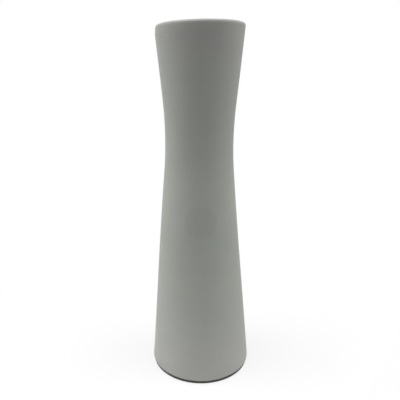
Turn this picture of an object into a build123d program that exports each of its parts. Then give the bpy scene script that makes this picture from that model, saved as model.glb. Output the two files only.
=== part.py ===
from build123d import *
import os
from math import acos, atan2, copysign, cos, sin

# A trumpet vase of fired clay that stands on a felt pad, stuck on with a ring of double-sided tape.
# Millimetres, +Z up, with the origin on the table under the middle of the foot.

# Outside of the vase
vase_height = 300.0          # table to the top of the lip, pad included
base_diameter = 90.0         # across the foot, its widest circle
waist_diameter = 58.0        # across the narrowest circle
waist_height = 208.0         # table to the narrowest circle
mouth_diameter = 72.0        # across the lip, its widest circle
waist_curve_share = 0.55     # of the largest radius that still leaves a straight flare each side of the waist

# Clay wall
wall_thickness = 6.0         # square to the wall
lip_edge_radius = 2.0        # outside and inside, on each side of the lip's flat top
floor_thickness = 9.0        # foot face to the floor inside
floor_corner_radius = 14.0   # inside, between the wall and the floor

# Turned foot
foot_bevel = 1.2             # width and height, outside, between the wall and the foot face
foot_ring_width = 11.0       # flat face that stands on the tape
foot_recess_depth = 2.5      # hollow within the ring, and the width of the bevel round it

# Felt pad and the tape that holds it
pad_thickness = 2.0
pad_setback = 1.0            # pad's edge inside the widest circle of the foot
tape_thickness = 0.2
tape_margin = 1.0            # bare foot face beside each edge of the tape

# Radii and heights that follow
foot_height = pad_thickness + tape_thickness
foot_face_radius = base_diameter / 2 - foot_bevel
foot_ring_inner_radius = foot_face_radius - foot_ring_width
recess_height = foot_height + foot_recess_depth
pad_radius = base_diameter / 2 - pad_setback
floor_height = foot_height + floor_thickness
waist_radius = waist_diameter / 2

# The two ends of the outside, as radius and height: the corner over the bevel and the centre of the lip's round
foot_corner = Vector(base_diameter / 2, foot_height + foot_bevel)
lip_centre = Vector(mouth_diameter / 2 - lip_edge_radius, vase_height - lip_edge_radius)


def whole_curvature(end, end_radius):
    # Curvature of an arc that leaves the waist upright and runs right up to a round at one end,
    # or to a corner, whose radius is zero.
    out = end.X - waist_radius
    rise = end.Y - waist_height
    return 2 * (out + end_radius) / (out**2 + rise**2 - end_radius**2)


# The waist curve: one arc, upright where the vase is narrowest, and its parallel inside the wall
waist_curve_radius = waist_curve_share / max(
    whole_curvature(foot_corner, 0),
    whole_curvature(lip_centre, lip_edge_radius),
)
inner_waist_curve_radius = waist_curve_radius + wall_thickness
waist_curve_centre = Vector(waist_radius + waist_curve_radius, waist_height)


def flare_normal(end, end_radius):
    # Outward direction of the straight flare that touches a round at one end on its outside, or starts
    # at a corner, and then touches the waist curve, which bends the other way.
    to_waist = waist_curve_centre - end
    bearing = atan2(to_waist.Y, to_waist.X)
    spread = acos((waist_curve_radius + end_radius) / to_waist.length)
    angle = bearing - copysign(spread, bearing)
    return Vector(cos(angle), sin(angle))


def floor_corner_centre(lower_normal):
    # Centre of the round that touches the floor inside and the inside of the lower flare.
    height = floor_height + floor_corner_radius
    reach = inner_waist_curve_radius + floor_corner_radius
    rise = lower_normal.Y * (height - waist_height)
    return Vector(waist_curve_centre.X - (reach + rise) / lower_normal.X, height)


def inner_lip_centre(upper_normal):
    # Centre of the lip's round inside: level with the one outside, and as far off as leaves one wall thickness.
    return lip_centre - Vector((wall_thickness - 2 * lip_edge_radius) / upper_normal.X, 0)


def make_vase_body():
    # One closed profile, turned about the axis. Each round runs into its straight without a corner,
    # and the inside follows the outside at one wall thickness.
    lower_normal = flare_normal(foot_corner, 0)
    upper_normal = flare_normal(lip_centre, lip_edge_radius)
    inner_centre = inner_lip_centre(upper_normal)
    corner_centre = floor_corner_centre(lower_normal)

    waist_start = waist_curve_centre - lower_normal * waist_curve_radius
    waist_end = waist_curve_centre - upper_normal * waist_curve_radius
    lip_start = lip_centre + upper_normal * lip_edge_radius
    lip_end = inner_centre - upper_normal * lip_edge_radius
    inner_waist_start = waist_curve_centre - upper_normal * inner_waist_curve_radius
    inner_waist_end = waist_curve_centre - lower_normal * inner_waist_curve_radius
    corner_start = corner_centre + lower_normal * floor_corner_radius

    with BuildPart() as body:
        with BuildSketch(Plane.XZ):
            with BuildLine():
                recess = Line((0, recess_height), (foot_ring_inner_radius - foot_recess_depth, recess_height))
                inner_bevel = Line(recess @ 1, (foot_ring_inner_radius, foot_height))
                foot_face = Line(inner_bevel @ 1, (foot_face_radius, foot_height))
                outer_bevel = Line(foot_face @ 1, foot_corner)

                lower_flare = Line(outer_bevel @ 1, waist_start)
                waist = TangentArc(lower_flare @ 1, waist_end, tangent=lower_flare % 1)
                upper_flare = Line(waist @ 1, lip_start)
                outer_lip = TangentArc(upper_flare @ 1, (lip_centre.X, vase_height), tangent=upper_flare % 1)
                lip_top = Line(outer_lip @ 1, (inner_centre.X, vase_height))
                inner_lip = TangentArc(lip_top @ 1, lip_end, tangent=lip_top % 1)

                inner_upper = Line(inner_lip @ 1, inner_waist_start)
                inner_waist = TangentArc(inner_upper @ 1, inner_waist_end, tangent=inner_upper % 1)
                inner_lower = Line(inner_waist @ 1, corner_start)
                corner = TangentArc(inner_lower @ 1, (corner_centre.X, floor_height), tangent=inner_lower % 1)
                floor = Line(corner @ 1, (0, floor_height))
                Line(floor @ 1, recess @ 0)
            make_face()
        revolve(axis=Axis.Z)
    return body.part


def make_tape_ring():
    # Flat ring between the foot face and the pad, clear of both edges of the foot face.
    outer = Circle(foot_face_radius - tape_margin)
    inner = Circle(foot_ring_inner_radius + tape_margin)
    return extrude(Pos(0, 0, pad_thickness) * (outer - inner), amount=tape_thickness)


def make_base_pad():
    # Die-cut felt disc that lies on the table.
    return extrude(Circle(pad_radius), amount=pad_thickness)


os.makedirs("parts", exist_ok=True)
export_step(make_vase_body(), "parts/vase_body.step")
export_step(make_tape_ring(), "parts/tape_ring.step")
export_step(make_base_pad(), "parts/base_pad.step")
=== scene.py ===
from math import acos, atan2, copysign, cos, pi, radians, sin

import bpy
import numpy as np
from mathutils import Matrix, Vector


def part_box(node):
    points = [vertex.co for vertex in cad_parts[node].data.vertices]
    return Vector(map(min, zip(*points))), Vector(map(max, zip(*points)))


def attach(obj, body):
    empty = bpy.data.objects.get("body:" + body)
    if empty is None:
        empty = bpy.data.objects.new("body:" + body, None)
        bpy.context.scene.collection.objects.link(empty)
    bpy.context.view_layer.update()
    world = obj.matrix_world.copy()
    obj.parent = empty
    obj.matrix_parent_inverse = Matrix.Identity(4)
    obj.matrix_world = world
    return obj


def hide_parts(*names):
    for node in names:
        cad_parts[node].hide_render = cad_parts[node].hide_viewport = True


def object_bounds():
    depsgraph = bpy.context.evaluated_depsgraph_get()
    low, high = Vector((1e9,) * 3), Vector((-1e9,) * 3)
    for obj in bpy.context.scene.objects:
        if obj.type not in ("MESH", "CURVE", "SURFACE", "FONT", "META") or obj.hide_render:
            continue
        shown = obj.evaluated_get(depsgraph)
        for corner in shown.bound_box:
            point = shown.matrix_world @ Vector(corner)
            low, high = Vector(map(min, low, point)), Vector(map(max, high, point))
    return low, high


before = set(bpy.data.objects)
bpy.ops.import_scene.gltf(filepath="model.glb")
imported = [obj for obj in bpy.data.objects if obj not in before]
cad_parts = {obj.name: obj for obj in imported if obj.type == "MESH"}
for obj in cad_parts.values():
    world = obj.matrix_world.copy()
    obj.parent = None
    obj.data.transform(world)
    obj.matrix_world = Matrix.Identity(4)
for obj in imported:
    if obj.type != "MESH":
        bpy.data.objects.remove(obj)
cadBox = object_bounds()
vaseTop = cadBox[1].z
scene = bpy.context.scene
scene.view_settings.view_transform = "Standard"
print("frame loaded:", ", ".join(sorted(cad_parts)))


# Mesh helpers

def heading(angle):
    # A step of length 1 in radius and height, by its angle above the level.
    return np.array([cos(angle), sin(angle)])


def straightRun(start, end, gap):
    # Points from start to just before end, evenly spaced and about one gap apart.
    start, end = np.array(start), np.array(end)
    count = max(1, round(float(np.hypot(*(end - start))) / gap))
    share = np.arange(count)[:, None] / count
    return start + share * (end - start)


def roundRun(centre, radius, fromAngle, toAngle, gap, fewest=3):
    # Points of an arc from one angle to just before another, evenly spaced and about one gap apart.
    count = max(fewest, round(abs(toAngle - fromAngle) * radius / gap))
    angles = fromAngle + (toAngle - fromAngle) * np.arange(count) / count
    return np.array(centre) + radius * np.stack([np.cos(angles), np.sin(angles)], axis=1)


def smoothStep(value, low, high):
    # Rises from 0 at low to 1 at high, level at both ends.
    share = np.clip((value - low) / (high - low), 0, 1)
    return share * share * (3 - 2 * share)


def newObject(name, points, faces):
    mesh = bpy.data.meshes.new(name)
    mesh.from_pydata(points, [], faces)
    piece = bpy.data.objects.new(name, mesh)
    scene.collection.objects.link(piece)
    return piece


def turnedPiece(name, profile, stepsAround, reshape):
    # A profile of radius and height turned about Z. Its two ends lie on the axis, where a fan of triangles
    # closes each pole. reshape takes angle, radius and height as grids and gives back x, y and z.
    rings = len(profile) - 2
    angle = np.arange(stepsAround) * 2 * pi / stepsAround
    angleGrid, radiusGrid = np.meshgrid(angle, profile[1:-1, 0])
    heightGrid = np.repeat(profile[1:-1, 1:2], stepsAround, axis=1)
    wall = np.stack(reshape(angleGrid, radiusGrid, heightGrid), axis=-1).reshape(-1, 3)
    poles = np.stack([[0, 0], [0, 0], profile[[0, -1], 1]], axis=-1)

    column = np.arange(stepsAround)
    nextColumn = (column + 1) % stepsAround
    row = np.arange(rings - 1)[:, None] * stepsAround
    nextRow = row + stepsAround
    quads = np.stack([row + column, row + nextColumn, nextRow + nextColumn, nextRow + column], axis=-1)
    lastRow = (rings - 1) * stepsAround
    firstPole = np.full(stepsAround, rings * stepsAround)
    firstFan = np.stack([firstPole, nextColumn, column], axis=-1)
    lastFan = np.stack([firstPole + 1, lastRow + column, lastRow + nextColumn], axis=-1)
    faces = quads.reshape(-1, 4).tolist() + firstFan.tolist() + lastFan.tolist()

    piece = newObject(name, np.concatenate([wall, poles]), faces)
    piece.data.shade_smooth()
    return piece


def ringValue(piece, name, values, stepsAround):
    # One number for each point of a turned piece's profile, for a material to read.
    everyPoint = np.concatenate([np.repeat(values[1:-1], stepsAround), values[[0, -1]]])
    attribute = piece.data.attributes.new(name, "FLOAT", "POINT")
    attribute.data.foreach_set("value", everyPoint.astype(np.float32))


# Node helpers

def plug(tree, value, socket):
    # A socket is linked. A plain number or colour is set on the socket itself.
    if isinstance(value, bpy.types.NodeSocket):
        tree.links.new(value, socket)
    elif socket.type == "RGBA":
        socket.default_value = (*value, 1)
    else:
        socket.default_value = value


def mathOf(tree, operation, *values, clamp=False):
    node = tree.nodes.new("ShaderNodeMath")
    node.operation = operation
    node.use_clamp = clamp
    for socket, value in zip(node.inputs, values):
        plug(tree, value, socket)
    return node.outputs[0]


def chainOf(tree, operation, first, *others):
    # One operation over several values in turn.
    total = first
    for value in others:
        total = mathOf(tree, operation, total, value)
    return total


def gapOf(tree, first, second):
    # How far apart two values are.
    return mathOf(tree, "ABSOLUTE", mathOf(tree, "SUBTRACT", first, second))


def swingOf(tree, value, amount):
    # A value from 0 to 1 made into a swing about zero, as wide as the amount.
    return mathOf(tree, "MULTIPLY", mathOf(tree, "SUBTRACT", value, 0.5), amount)


def rangeOf(tree, value, low, high, toLow=0.0, toHigh=1.0):
    # Smooth step of a value from low to high, of which either may be the larger.
    node = tree.nodes.new("ShaderNodeMapRange")
    node.interpolation_type = "SMOOTHSTEP"
    for socket, setting in zip(node.inputs, (value, low, high, toLow, toHigh)):
        plug(tree, setting, socket)
    return node.outputs[0]


# Places of both values and of the result on a Mix node, by the kind of value
mixSockets = {"FLOAT": (2, 3, 0), "RGBA": (6, 7, 2)}


def mixOf(tree, share, first, second, kind="RGBA"):
    # Blend of two colours, or of two numbers where the kind is FLOAT.
    firstPlace, secondPlace, resultPlace = mixSockets[kind]
    node = tree.nodes.new("ShaderNodeMix")
    node.data_type = kind
    plug(tree, share, node.inputs[0])
    plug(tree, first, node.inputs[firstPlace])
    plug(tree, second, node.inputs[secondPlace])
    return node.outputs[resultPlace]


def scaledColour(tree, colour, factor):
    # A colour times a number.
    node = tree.nodes.new("ShaderNodeVectorMath")
    node.operation = "SCALE"
    plug(tree, colour, node.inputs[0])
    plug(tree, factor, node.inputs["Scale"])
    return node.outputs[0]


def lengthOf(tree, vector):
    node = tree.nodes.new("ShaderNodeVectorMath")
    node.operation = "LENGTH"
    plug(tree, vector, node.inputs[0])
    return node.outputs["Value"]


def axesOf(tree, vector):
    node = tree.nodes.new("ShaderNodeSeparateXYZ")
    plug(tree, vector, node.inputs[0])
    return node.outputs


def mappingOf(tree, coords, kind, **settings):
    node = tree.nodes.new("ShaderNodeMapping")
    node.vector_type = kind
    plug(tree, coords, node.inputs["Vector"])
    for name, value in settings.items():
        plug(tree, value, node.inputs[name])
    return node.outputs[0]


def noiseOf(tree, coords, scale, detail=2, roughness=0.5):
    node = tree.nodes.new("ShaderNodeTexNoise")
    plug(tree, coords, node.inputs["Vector"])
    plug(tree, scale, node.inputs["Scale"])
    plug(tree, detail, node.inputs["Detail"])
    plug(tree, roughness, node.inputs["Roughness"])
    return node.outputs[0]


def attributeOf(tree, name):
    node = tree.nodes.new("ShaderNodeAttribute")
    node.attribute_name = name
    return node.outputs["Fac"]


def bumpOf(tree, height, strength, distance):
    node = tree.nodes.new("ShaderNodeBump")
    plug(tree, height, node.inputs["Height"])
    plug(tree, strength, node.inputs["Strength"])
    plug(tree, distance, node.inputs["Distance"])
    return node.outputs[0]


def seenDirectly(tree):
    # 1 for what the camera sees straight, in a reflection or through glass.
    path = tree.nodes.new("ShaderNodeLightPath").outputs
    glossOrGlass = mathOf(tree, "ADD", path["Is Glossy Ray"], path["Is Transmission Ray"])
    return mathOf(tree, "ADD", path["Is Camera Ray"], glossOrGlass, clamp=True)


def newGroup(name, settings, output):
    # A node group that takes coordinates and some named numbers, and puts out one number.
    group = bpy.data.node_groups.new(name, "ShaderNodeTree")
    group.interface.new_socket("Coords", in_out="INPUT", socket_type="NodeSocketVector")
    for setting in settings:
        group.interface.new_socket(setting, in_out="INPUT", socket_type="NodeSocketFloat")
    group.interface.new_socket(output, in_out="OUTPUT", socket_type="NodeSocketFloat")
    given = group.nodes.new("NodeGroupInput").outputs
    result = group.nodes.new("NodeGroupOutput").inputs[output]
    return group, given, result


def useGroup(tree, group, coords, settings):
    node = tree.nodes.new("ShaderNodeGroup")
    node.node_tree = group
    plug(tree, coords, node.inputs["Coords"])
    for name, value in settings.items():
        plug(tree, value, node.inputs[name])
    return node.outputs[0]


def newMaterial(name):
    material = bpy.data.materials.new(name)
    material.use_nodes = True
    tree = material.node_tree
    shader = tree.nodes["Principled BSDF"]
    coords = tree.nodes.new("ShaderNodeTexCoord").outputs["Object"]
    return material, tree, shader, coords


# Shared effects

effects = {
    "mottleFine": 4.3,        # how many times finer the small clouds are than the broad ones
    "mottleShare": 0.65,      # of the broad clouds
    "toothRough": 0.6,        # how sharp the tooth of the grain is
    "toothShare": 0.6,        # of the tooth
    "swellScale": 0.22,       # of the soft swell under the tooth, to the scale of the tooth
    "leastSpeck": 0.35,       # narrowest speck, to the width asked for
    "speckCore": 0.55,        # full middle of a speck, to its own width
}


def makeMottle():
    # Broad cloudy tone: two sizes of noise about 1, as a factor for a colour.
    group, given, result = newGroup("softMottle", ["Scale", "Amount"], "Factor")
    fineScale = mathOf(group, "MULTIPLY", given["Scale"], effects["mottleFine"])
    fine = noiseOf(group, given["Coords"], fineScale, detail=3)
    broad = noiseOf(group, given["Coords"], given["Scale"])
    both = mixOf(group, effects["mottleShare"], fine, broad, "FLOAT")
    plug(group, mathOf(group, "ADD", 1.0, swingOf(group, both, given["Amount"])), result)
    return group


def makeGrain():
    # Fine tooth of a dry surface: a sharp noise over a softer one, as a height from 0 to 1.
    group, given, result = newGroup("fineGrain", ["Scale"], "Height")
    swellScale = mathOf(group, "MULTIPLY", given["Scale"], effects["swellScale"])
    swell = noiseOf(group, given["Coords"], swellScale)
    tooth = noiseOf(group, given["Coords"], given["Scale"], detail=3, roughness=effects["toothRough"])
    plug(group, mixOf(group, effects["toothShare"], swell, tooth, "FLOAT"), result)
    return group


def makeSpecks():
    # Scattered specks: cells of one size, of which a share hold a dot of its own width.
    group, given, result = newGroup("scatteredSpecks", ["Cells", "Share", "Width"], "Mask")
    cells = group.nodes.new("ShaderNodeTexVoronoi")
    plug(group, given["Coords"], cells.inputs["Vector"])
    plug(group, given["Cells"], cells.inputs["Scale"])
    chance = group.nodes.new("ShaderNodeSeparateColor")
    plug(group, cells.outputs["Color"], chance.inputs[0])
    ownShare = mathOf(group, "ADD", chance.outputs["Green"], effects["leastSpeck"])
    width = mathOf(group, "MULTIPLY", given["Width"], ownShare)
    core = mathOf(group, "MULTIPLY", width, effects["speckCore"])
    dot = rangeOf(group, cells.outputs["Distance"], width, core)
    kept = mathOf(group, "LESS_THAN", chance.outputs["Red"], given["Share"])
    plug(group, mathOf(group, "MULTIPLY", dot, kept), result)
    return group


mottleGroup = makeMottle()
grainGroup = makeGrain()
speckGroup = makeSpecks()
print("shared effects made: mottle, grain, specks")


# Vase body: one closed skin over the fired clay, from the hollow under the foot to the floor inside

vase = {
    "waistWidth": 0.058,
    "waistHeight": 0.208,
    "waistCurve": 0.319,      # radius of the outside at the waist, in profile
    "mouthWidth": 0.072,
    "wall": 0.006,
    "lipEdge": 0.002,         # rounds on both sides of the lip's flat top
    "floorThickness": 0.009,
    "floorCorner": 0.014,
    "footBevel": 0.0012,
    "footRound": 0.0006,      # softened corner over the bevel
    "footRing": 0.011,
    "recess": 0.0025,
    "bareRise": 0.00006,      # how far above the foot face the bare clay may end
    "stepsAround": 224,
    "wallGap": 0.0026,        # between rings of the walls
    "cornerGap": 0.0013,      # of the corner inside
    "edgeGap": 0.0004,        # of the lip and the bevel
    "footGap": 0.00013,       # of the softened corner
    "sharpAngle": 35,         # degrees between faces, above which their edge stays sharp
    "wander": 0.00016,        # how far the thrown wall wanders inwards from a true circle
    # Its waves, by share, count around, turn in radians per metre of height, and start
    "wanderWaves": [(0.6, 2, 9, 0), (0.4, 3, -14, 1)],
    "wanderStart": (0.012, 0.024),            # from the axis, where the wandering starts and is full
    "bow": 0.0011,            # how far the middle stands to the left of foot and lip
    "rimDip": 0.0009,         # how much lower the rim stands on its left side
    "dipReach": 0.045,        # height of wall over which the dip fades out
    "leanOut": 0.0006,        # how far the wall leans out below the rim on that side
    "leanReach": 0.07,
    "turnIn": 0.0011,         # and how far it turns in again at the rim
    "turnReach": 0.0085,
}


def vaseProfile(footHeight, baseRadius, top):
    # Foot, lower flare, waist curve, upper flare and lip, then the inside at one wall thickness.
    # Each flare is the straight line that touches the round or corner at its end and the waist curve.
    lip, footRound, floorCorner = vase["lipEdge"], vase["footRound"], vase["floorCorner"]
    waistCurve = vase["waistCurve"]
    innerCurve = waistCurve + vase["wall"]
    faceEdge = baseRadius - vase["footBevel"]
    ringEdge = faceEdge - vase["footRing"]
    recessEdge = ringEdge - vase["recess"]
    recessTop = footHeight + vase["recess"]
    floorHeight = footHeight + vase["floorThickness"]
    footCorner = np.array([baseRadius, footHeight + vase["footBevel"]])
    waistCentre = np.array([vase["waistWidth"] / 2 + waistCurve, vase["waistHeight"]])
    lipCentre = np.array([vase["mouthWidth"] / 2 - lip, top - lip])

    def flareAngle(end, radius):
        # Tilt of the flare's outward normal above the level.
        across = waistCentre - end
        bearing = atan2(across[1], across[0])
        return bearing - copysign(acos((waistCurve + radius) / np.hypot(*across)), bearing)

    # Outward normals of the bevel and of both flares
    bevelAngle = -pi / 4
    lowAngle = flareAngle(footCorner, 0)
    highAngle = flareAngle(lipCentre, lip)
    bevel, low, high = heading(bevelAngle), heading(lowAngle), heading(highAngle)

    # Centres of the other rounds
    footCentre = footCorner - footRound * (bevel + low) / (1 + bevel @ low)
    innerLip = lipCentre - np.array([(vase["wall"] - 2 * lip) / high[0], 0])
    cornerHeight = floorHeight + floorCorner
    cornerReach = innerCurve + floorCorner + low[1] * (cornerHeight - waistCentre[1])
    cornerCentre = np.array([waistCentre[0] - cornerReach / low[0], cornerHeight])

    wallGap, edgeGap = vase["wallGap"], vase["edgeGap"]
    runs = [
        straightRun((0, recessTop), (recessEdge, recessTop), wallGap),
        straightRun((recessEdge, recessTop), (ringEdge, footHeight), wallGap),
        straightRun((ringEdge, footHeight), (faceEdge, footHeight), wallGap),
        straightRun((faceEdge, footHeight), footCentre + bevel * footRound, edgeGap),
        roundRun(footCentre, footRound, bevelAngle, lowAngle, vase["footGap"]),
        straightRun(footCentre + low * footRound, waistCentre - low * waistCurve, wallGap),
        roundRun(waistCentre, waistCurve, pi + lowAngle, pi + highAngle, wallGap),
        straightRun(waistCentre - high * waistCurve, lipCentre + high * lip, wallGap),
        roundRun(lipCentre, lip, highAngle, pi / 2, edgeGap),
        straightRun((lipCentre[0], top), (innerLip[0], top), edgeGap),
        roundRun(innerLip, lip, pi / 2, pi + highAngle, edgeGap),
        straightRun(innerLip - high * lip, waistCentre - high * innerCurve, wallGap),
        roundRun(waistCentre, innerCurve, pi + highAngle, pi + lowAngle, wallGap),
        straightRun(waistCentre - low * innerCurve, cornerCentre + low * floorCorner, wallGap),
        roundRun(cornerCentre, floorCorner, lowAngle, -pi / 2, vase["cornerGap"]),
        straightRun((cornerCentre[0], floorHeight), (0, floorHeight), wallGap),
        [(0, floorHeight)],
    ]
    return np.concatenate(runs)


def makeVase():
    bodyLow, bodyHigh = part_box("vase_body")
    footHeight, top = bodyLow.z, bodyHigh.z
    profile = vaseProfile(footHeight, bodyHigh.x, top)

    def nearRim(height, reach):
        # 1 at the rim, down to 0 where the reach ends below it.
        return smoothStep(height, top - reach, top)

    def thrown(angle, radius, height):
        # The wall wanders inwards, more on two sides than between them, turning as it climbs. Its middle
        # bows to the left. Near the top, on the left, it leans out, then turns in and down at the rim,
        # which isn't quite level or round.
        waves = [share * np.cos(count * angle + turn * height + start)
                 for share, count, turn, start in vase["wanderWaves"]]
        wander = vase["wander"] * (0.5 + 0.5 * sum(waves)) * smoothStep(radius, *vase["wanderStart"])
        onLeft = 0.5 - 0.5 * np.cos(angle)
        leanOut = vase["leanOut"] * nearRim(height, vase["leanReach"])
        turnIn = vase["turnIn"] * nearRim(height, vase["turnReach"])
        dip = vase["rimDip"] * nearRim(height, vase["dipReach"])
        bow = vase["bow"] * np.sin(pi * height / top) ** 2
        bent = radius - wander + onLeft * (leanOut - turnIn)
        return bent * np.cos(angle) - bow, bent * np.sin(angle), height - onLeft * dip

    piece = turnedPiece("vase_shell", profile, vase["stepsAround"], thrown)
    piece.data.set_sharp_from_angle(angle=radians(vase["sharpAngle"]))

    # Along the skin from the top of the lip, below zero on the inside
    steps = np.hypot(*np.diff(profile, axis=0).T)
    run = np.concatenate([[0], np.cumsum(steps)])
    fromLip = run[np.argmax(profile[:, 1])] - run
    ringValue(piece, "fromLip", fromLip, vase["stepsAround"])

    # 1 from the hollow under the foot to the outer edge of the foot face
    lastBare = np.flatnonzero(profile[:, 1] < footHeight + vase["bareRise"])[-1]
    underFoot = (np.arange(len(profile)) <= lastBare).astype(float)
    ringValue(piece, "underFoot", underFoot, vase["stepsAround"])
    return piece


glaze = {
    "colour": (0.2840, 0.300, 0.2700),
    "endColour": (0.3005, 0.301, 0.2860),     # less green towards the lip and the foot
    # Shares of the vase's height: where it is greenest, and how far off the green starts to fade and ends
    "greenHeight": 0.53,
    "greenReach": (0.22, 0.53),
    "mottle": {"Scale": 38, "Amount": 0.15},
    "paintedBounceSlant": 0.16,        # painted bounce light: how much paler the glaze is painted at the foot than at the lip
    "paintedFootBounce": 0.08,         # and how much more painted bounce light it gains over the last stretch above the foot
    "paintedFootBounceReach": 0.06,
    "bandTone": 0.06,         # how much paler a soft band below the waist is
    "bandHeight": 0.165,
    "bandReach": 0.045,
    "darkDiscPlace": (-0.0003, 0.0, 0.1443),      # a faint darker disc on the front
    "darkDiscRadius": 0.0134,
    "darkDiscEdge": 0.0034,
    "darkDiscDepth": 0.054,       # how much darker it is than the glaze round it
    "thinLipAndHighlightColour": (0.385, 0.392, 0.365),       # where the glaze runs thin over the lip, with a painted highlight where light from above falls on its top
    "thinLipAndHighlightShare": 0.8,          # of that colour, where the glaze is thinnest and the painted highlight strongest
    "thinLipAndHighlightWidth": 0.0050,       # along the skin, from the top of the lip to where the thin glaze ends
    "thinLipAndHighlightFull": 0.0012,        # and to where it is thinnest
    "insideColour": (0.33, 0.335, 0.315),
    "insideStart": 0.010,     # depth below the lip where the inside glaze begins
    "insideEdge": 0.0015,     # width over which the two glazes meet
    "insideWobble": {"scale": 60, "amount": 0.006},         # how that edge runs up and down
    "bareColour": (0.50, 0.43, 0.34),         # unglazed clay under the foot
    "paleSpecks": {"Cells": 160, "Share": 0.05, "Width": 0.10},
    "speckColour": (0.52, 0.52, 0.49),
    "pinHoles": {"Cells": 230, "Share": 0.06, "Width": 0.09},
    "holeColour": (0.20, 0.20, 0.185),
    "dotShare": 0.5,          # of the colour of a speck or pin hole
    "rough": 0.70,
    "roughSwing": 0.2,        # with the grain
    "insideRough": 0.30,
    "bareRough": 0.92,
    "shine": 0.4,
    "grain": {"Scale": 1500},
    "bump": 0.5,
    "grainHeight": 0.00012,
}


def darkDiscToneOf(tree, coords):
    # A disc about an axis that runs from front to back, kept on the front alone.
    fromCentre = [-place for place in glaze["darkDiscPlace"]]
    flat = mappingOf(tree, coords, "POINT", Location=fromCentre, Scale=(1, 0, 1))
    halfEdge = glaze["darkDiscEdge"] / 2
    outer, inner = glaze["darkDiscRadius"] + halfEdge, glaze["darkDiscRadius"] - halfEdge
    disc = rangeOf(tree, lengthOf(tree, flat), outer, inner)
    onFront = mathOf(tree, "LESS_THAN", axesOf(tree, coords)["Y"], 0.0)
    depth = chainOf(tree, "MULTIPLY", disc, onFront, glaze["darkDiscDepth"])
    return mathOf(tree, "SUBTRACT", 1.0, depth)


def paintedBounceAndBandOf(tree, height):
    # Painted bounce light from the floor: an even slant about 1, paler towards the foot, and on top of it
    # the foot's own paler stretch, also painted bounce, and the band.
    slant = mathOf(tree, "MULTIPLY_ADD", height, -glaze["paintedBounceSlant"] / vaseTop, 1 + glaze["paintedBounceSlant"] / 2)
    foot = rangeOf(tree, height, glaze["paintedFootBounceReach"], 0.0, 0.0, glaze["paintedFootBounce"])
    fromBand = gapOf(tree, height, glaze["bandHeight"])
    band = rangeOf(tree, fromBand, glaze["bandReach"], 0.0, 0.0, glaze["bandTone"])
    return chainOf(tree, "ADD", slant, foot, band)


def insideOf(tree, coords, fromLip):
    # 1 below the wobbling edge where the inside glaze begins.
    wobble = glaze["insideWobble"]
    swing = swingOf(tree, noiseOf(tree, coords, wobble["scale"]), wobble["amount"])
    start = -glaze["insideStart"]
    return rangeOf(tree, mathOf(tree, "ADD", fromLip, swing), start, start - glaze["insideEdge"])


def makeGlaze():
    material, tree, shader, coords = newMaterial("stoneGreyGlaze")
    height = axesOf(tree, coords)["Z"]
    fromLip = attributeOf(tree, "fromLip")
    bare = attributeOf(tree, "underFoot")
    inside = insideOf(tree, coords, fromLip)
    mottle = useGroup(tree, mottleGroup, coords, glaze["mottle"])
    grain = useGroup(tree, grainGroup, coords, glaze["grain"])
    specks = useGroup(tree, speckGroup, coords, glaze["paleSpecks"])
    holes = useGroup(tree, speckGroup, coords, glaze["pinHoles"])

    # Toned glaze with painted bounce light towards the foot, then the thin lip with its painted highlight,
    # the inside, the bare foot, pale specks and pin holes
    fromGreenest = gapOf(tree, height, vaseTop * glaze["greenHeight"])
    nearEnds = rangeOf(tree, fromGreenest, *[vaseTop * share for share in glaze["greenReach"]])
    tone = chainOf(tree, "MULTIPLY", mottle, darkDiscToneOf(tree, coords), paintedBounceAndBandOf(tree, height))
    colour = scaledColour(tree, mixOf(tree, nearEnds, glaze["colour"], glaze["endColour"]), tone)
    # The lip's top is paler: partly glaze running thin, partly a painted highlight of the light from above
    thinLipAndHighlight = rangeOf(tree, mathOf(tree, "ABSOLUTE", fromLip), glaze["thinLipAndHighlightWidth"], glaze["thinLipAndHighlightFull"])
    colour = mixOf(tree, mathOf(tree, "MULTIPLY", thinLipAndHighlight, glaze["thinLipAndHighlightShare"]), colour, glaze["thinLipAndHighlightColour"])
    colour = mixOf(tree, inside, colour, scaledColour(tree, glaze["insideColour"], mottle))
    colour = mixOf(tree, bare, colour, scaledColour(tree, glaze["bareColour"], mottle))
    for dots, dotColour in ((specks, glaze["speckColour"]), (holes, glaze["holeColour"])):
        colour = mixOf(tree, mathOf(tree, "MULTIPLY", dots, glaze["dotShare"]), colour, dotColour)
    plug(tree, colour, shader.inputs["Base Color"])

    rough = mixOf(tree, inside, glaze["rough"], glaze["insideRough"], "FLOAT")
    rough = mixOf(tree, bare, rough, glaze["bareRough"], "FLOAT")
    rough = mathOf(tree, "ADD", rough, swingOf(tree, grain, glaze["roughSwing"]))
    plug(tree, rough, shader.inputs["Roughness"])
    plug(tree, glaze["shine"], shader.inputs["Specular IOR Level"])
    surface = mathOf(tree, "SUBTRACT", grain, holes)
    plug(tree, bumpOf(tree, surface, glaze["bump"], glaze["grainHeight"]), shader.inputs["Normal"])
    return material


vaseShell = makeVase()
vaseShell.data.materials.append(makeGlaze())
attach(vaseShell, "root")
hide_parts("vase_body")
print("vase shell:", len(vaseShell.data.polygons), "faces")


# Base pad: a disc cut from pressed felt, stuck under the foot

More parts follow.
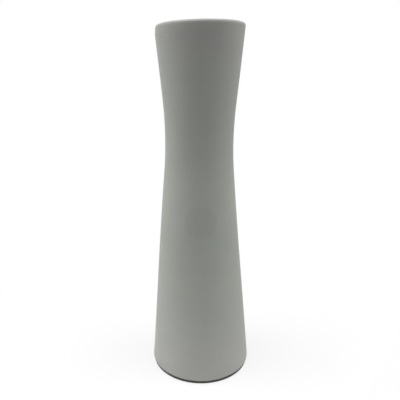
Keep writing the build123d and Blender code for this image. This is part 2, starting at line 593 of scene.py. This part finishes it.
pad = {
    "edge": 0.0003,           # soft rounding of the cut edge
    "faceGap": 0.0011,        # between rings of both faces
    "edgeGap": 0.00012,       # of the cut edge
    "stepsAround": 300,
    "fray": 0.00007,          # how far the cut edge frays inwards
    "frayReach": 0.0009,      # from the edge, where the fraying ends
    # Its waves, by count around, turn in radians through the thickness, and start
    "frayWaves": [(97, 7, 0), (151, -11, 2), (61, 5, 4)],
    # Charcoal, so that the pad's edge shows as the dark line round the foot; that line is partly painted
    # shade, a dark piece where the foot's contact shadow falls
    "colour": (0.026, 0.026, 0.028),
    "mottle": {"Scale": 220, "Amount": 0.9},
    "grain": {"Scale": 2600},
    "leastTone": 0.5,         # in the deepest grain
    # Matted fibres, by their length along x, y and z, and their turn in degrees
    "fibres": [((0.0040, 0.0040, 0.00016), (6, 9, 0)), ((0.00022, 0.0035, 0.0005), (0, 0, 35)),
               ((0.00022, 0.0035, 0.0005), (0, 0, -50))],
    "fibreWidth": 0.09,       # of the noise that makes them, on each side of its middle
    "fibreColour": (0.095, 0.095, 0.099),
    "fibreShare": 0.7,        # of that colour
    "roughGrain": (0.2, 0.8),                 # heights of the grain, and the roughness that they get
    "rough": (0.85, 1.0),
    "shine": 0.2,
    "sheen": 0.35,
    "sheenRough": 0.6,
    "bump": 0.8,
    "grainHeight": 0.00025,
}


def makePad():
    padLow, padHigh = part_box("base_pad")
    radius, bottom, top = padHigh.x, padLow.z, padHigh.z
    edge, faceGap, edgeGap = pad["edge"], pad["faceGap"], pad["edgeGap"]
    innerRadius = radius - edge
    runs = [
        straightRun((0, bottom), (innerRadius, bottom), faceGap),
        roundRun((innerRadius, bottom + edge), edge, -pi / 2, 0, edgeGap),
        straightRun((radius, bottom + edge), (radius, top - edge), edgeGap),
        roundRun((innerRadius, top - edge), edge, 0, pi / 2, edgeGap),
        straightRun((innerRadius, top), (0, top), faceGap),
        [(0, top)],
    ]

    def frayed(angle, radiusGrid, height):
        # The cut edge wanders inwards in short waves, which differ from layer to layer of the felt.
        layer = (height - bottom) / (top - bottom)
        waves = [np.sin(count * angle + turn * layer + start) for count, turn, start in pad["frayWaves"]]
        share = 0.5 + 0.5 * np.mean(waves, axis=0)
        bent = radiusGrid - pad["fray"] * share * smoothStep(radiusGrid, radius - pad["frayReach"], radius)
        return bent * np.cos(angle), bent * np.sin(angle), height

    return turnedPiece("felt_pad", np.concatenate(runs), pad["stepsAround"], frayed), radius


def fibresOf(tree, coords, lengths, turn):
    # A noise drawn out into streaks, of which only the values round its middle are kept, as thin lines.
    angles = [radians(angle) for angle in turn]
    drawn = mappingOf(tree, coords, "TEXTURE", Rotation=angles, Scale=lengths)
    fromMiddle = gapOf(tree, noiseOf(tree, drawn, 1.0, detail=1), 0.5)
    return rangeOf(tree, fromMiddle, pad["fibreWidth"], 0.0)


def makeFelt():
    material, tree, shader, coords = newMaterial("charcoalFelt")
    mottle = useGroup(tree, mottleGroup, coords, pad["mottle"])
    grain = useGroup(tree, grainGroup, coords, pad["grain"])
    fibres = chainOf(tree, "MAXIMUM", *[fibresOf(tree, coords, *fibre) for fibre in pad["fibres"]])

    tone = mathOf(tree, "MULTIPLY", mottle, mathOf(tree, "ADD", pad["leastTone"], grain))
    fibreTone = mathOf(tree, "MULTIPLY", tone, pad["fibreShare"])
    shown = mathOf(tree, "MULTIPLY", fibres, fibreTone, clamp=True)
    colour = mixOf(tree, shown, scaledColour(tree, pad["colour"], tone), pad["fibreColour"])
    plug(tree, colour, shader.inputs["Base Color"])
    plug(tree, rangeOf(tree, grain, *pad["roughGrain"], *pad["rough"]), shader.inputs["Roughness"])
    plug(tree, pad["shine"], shader.inputs["Specular IOR Level"])
    plug(tree, pad["sheen"], shader.inputs["Sheen Weight"])
    plug(tree, pad["sheenRough"], shader.inputs["Sheen Roughness"])
    surface = mathOf(tree, "ADD", grain, fibres)
    plug(tree, bumpOf(tree, surface, pad["bump"], pad["grainHeight"]), shader.inputs["Normal"])
    return material


feltPad, padRadius = makePad()
feltPad.data.materials.append(makeFelt())
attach(feltPad, "root")
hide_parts("base_pad")
print("felt pad:", len(feltPad.data.polygons), "faces")


# Tape ring: the frame's own flat ring, with the look of clear film on a milky glue

tape = {
    "colour": (0.62, 0.60, 0.53),
    "mottle": {"Scale": 160, "Amount": 0.25},
    "grain": {"Scale": 900},
    "rough": 0.44,
    "roughSwing": 0.2,        # with the grain
}


def makeTape():
    material, tree, shader, coords = newMaterial("milkyTape")
    mottle = useGroup(tree, mottleGroup, coords, tape["mottle"])
    grain = useGroup(tree, grainGroup, coords, tape["grain"])
    plug(tree, scaledColour(tree, tape["colour"], mottle), shader.inputs["Base Color"])
    rough = mathOf(tree, "ADD", tape["rough"], swingOf(tree, grain, tape["roughSwing"]))
    plug(tree, rough, shader.inputs["Roughness"])
    return material


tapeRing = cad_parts["tape_ring"]
tapeRing.data.materials.clear()
tapeRing.data.materials.append(makeTape())
print("tape ring finished")


# Floor, light and camera

stage = {
    "floorSize": 2.6,
    "floorDrop": 0.00005,     # just under the pad
    "floorColour": (0.80, 0.80, 0.80),
    "seenShade": 0.20,        # share of the floor's light and shadow that the camera sees, near the vase
    "floorLight": 1.33,       # on the open floor, so that a glow can make up the rest to white
    "shadowReach": (0.10, 0.30),              # from the axis, where the shadow starts to fade and ends
    "ambient": 0.02,
    "backdrop": 1.0,          # white, where it is seen
}


def makePaleFloor():
    # Near the vase the camera sees a little of the floor's own light and shadow, and everywhere a glow that
    # makes up the rest to white. Light that bounces off the floor takes its plain colour.
    material = bpy.data.materials.new("paleFloor")
    material.use_nodes = True
    tree = material.node_tree
    tree.nodes.clear()
    seen = seenDirectly(tree)
    fromAxis = lengthOf(tree, tree.nodes.new("ShaderNodeTexCoord").outputs["Object"])
    near, far = stage["shadowReach"]
    shade = rangeOf(tree, fromAxis, far, near, 0.0, stage["seenShade"])
    matte = tree.nodes.new("ShaderNodeBsdfDiffuse")
    plug(tree, mixOf(tree, seen, stage["floorColour"], shade), matte.inputs["Color"])
    glow = tree.nodes.new("ShaderNodeEmission")
    missing = mathOf(tree, "SUBTRACT", 1.0, mathOf(tree, "MULTIPLY", shade, stage["floorLight"]))
    plug(tree, mathOf(tree, "MULTIPLY", seen, missing), glow.inputs["Strength"])
    both = tree.nodes.new("ShaderNodeAddShader")
    plug(tree, matte.outputs[0], both.inputs[0])
    plug(tree, glow.outputs[0], both.inputs[1])
    output = tree.nodes.new("ShaderNodeOutputMaterial")
    plug(tree, both.outputs[0], output.inputs["Surface"])
    return material


def makeFloor():
    half, level = stage["floorSize"] / 2, -stage["floorDrop"]
    corners = [(-half, -half, level), (half, -half, level), (half, half, level), (-half, half, level)]
    floor = newObject("floor", corners, [(0, 1, 2, 3)])
    floor.data.materials.append(makePaleFloor())


def makeWorld():
    world = bpy.data.worlds.new("studio")
    world.use_nodes = True
    scene.world = world
    tree = world.node_tree
    background = tree.nodes["Background"]
    plug(tree, (1, 1, 1), background.inputs["Color"])
    strength = mixOf(tree, seenDirectly(tree), stage["ambient"], stage["backdrop"], "FLOAT")
    plug(tree, strength, background.inputs["Strength"])


# Soft boxes and low cards, by place, size and power in watts, all turned to the middle of the vase
softBoxes = {
    "leftBox": {"place": (-0.9, 0.1, 0.35), "size": (0.7, 0.8), "power": 4.08},
    "leftBackBox": {"place": (-0.7, 0.7, 0.4), "size": (0.7, 0.8), "power": 1.0},
    "rightBox": {"place": (0.9, 0.1, 0.35), "size": (0.7, 0.8), "power": 2.48},
    "rightBackBox": {"place": (0.7, 0.7, 0.4), "size": (0.7, 0.8), "power": 0.5},
    "overheadBox": {"place": (0.0, -0.1, 1.8), "size": (2.4, 0.9), "power": 48.7},
    "leftCard": {"place": (-0.13, -0.10, 0.02), "size": (0.24, 0.035), "power": 0.025},
    "rightCard": {"place": (0.13, -0.10, 0.02), "size": (0.24, 0.035), "power": 0.021},
    "frontCard": {"place": (0.0, -0.16, 0.02), "size": (0.30, 0.035), "power": 0.004},
}
boxTarget = Vector((0.0, 0.0, 0.15))


def makeLights():
    for name, box in softBoxes.items():
        light = bpy.data.lights.new(name, "AREA")
        light.shape = "RECTANGLE"
        light.size, light.size_y = box["size"]
        light.energy = box["power"]
        lamp = bpy.data.objects.new(name, light)
        lamp.location = box["place"]
        lamp.rotation_euler = (boxTarget - Vector(box["place"])).to_track_quat("-Z", "Y").to_euler()
        lamp.visible_camera = False
        scene.collection.objects.link(lamp)


lens = {
    "place": (-0.0102, -0.3682, 0.2566),
    "down": 15.40,            # degrees below the level
    "roll": -0.46,            # degrees about the line of sight
    "focal": 39.0,
    "sensor": 36.0,
    "shift": 0.0284,          # the vase stood right of the middle of the uncropped picture
}


def makeCamera():
    data = bpy.data.cameras.new("camera")
    data.lens = lens["focal"]
    data.sensor_width = lens["sensor"]
    data.shift_x = lens["shift"]
    camera = bpy.data.objects.new("camera", data)
    camera.location = lens["place"]
    tilt = Matrix.Rotation(radians(90 - lens["down"]), 3, "X")              # at 90 it looks level
    camera.rotation_euler = (tilt @ Matrix.Rotation(radians(lens["roll"]), 3, "Z")).to_euler()
    scene.collection.objects.link(camera)
    scene.camera = camera


makeFloor()
makeWorld()
makeLights()
makeCamera()
print("stage ready:", len(softBoxes), "soft boxes")
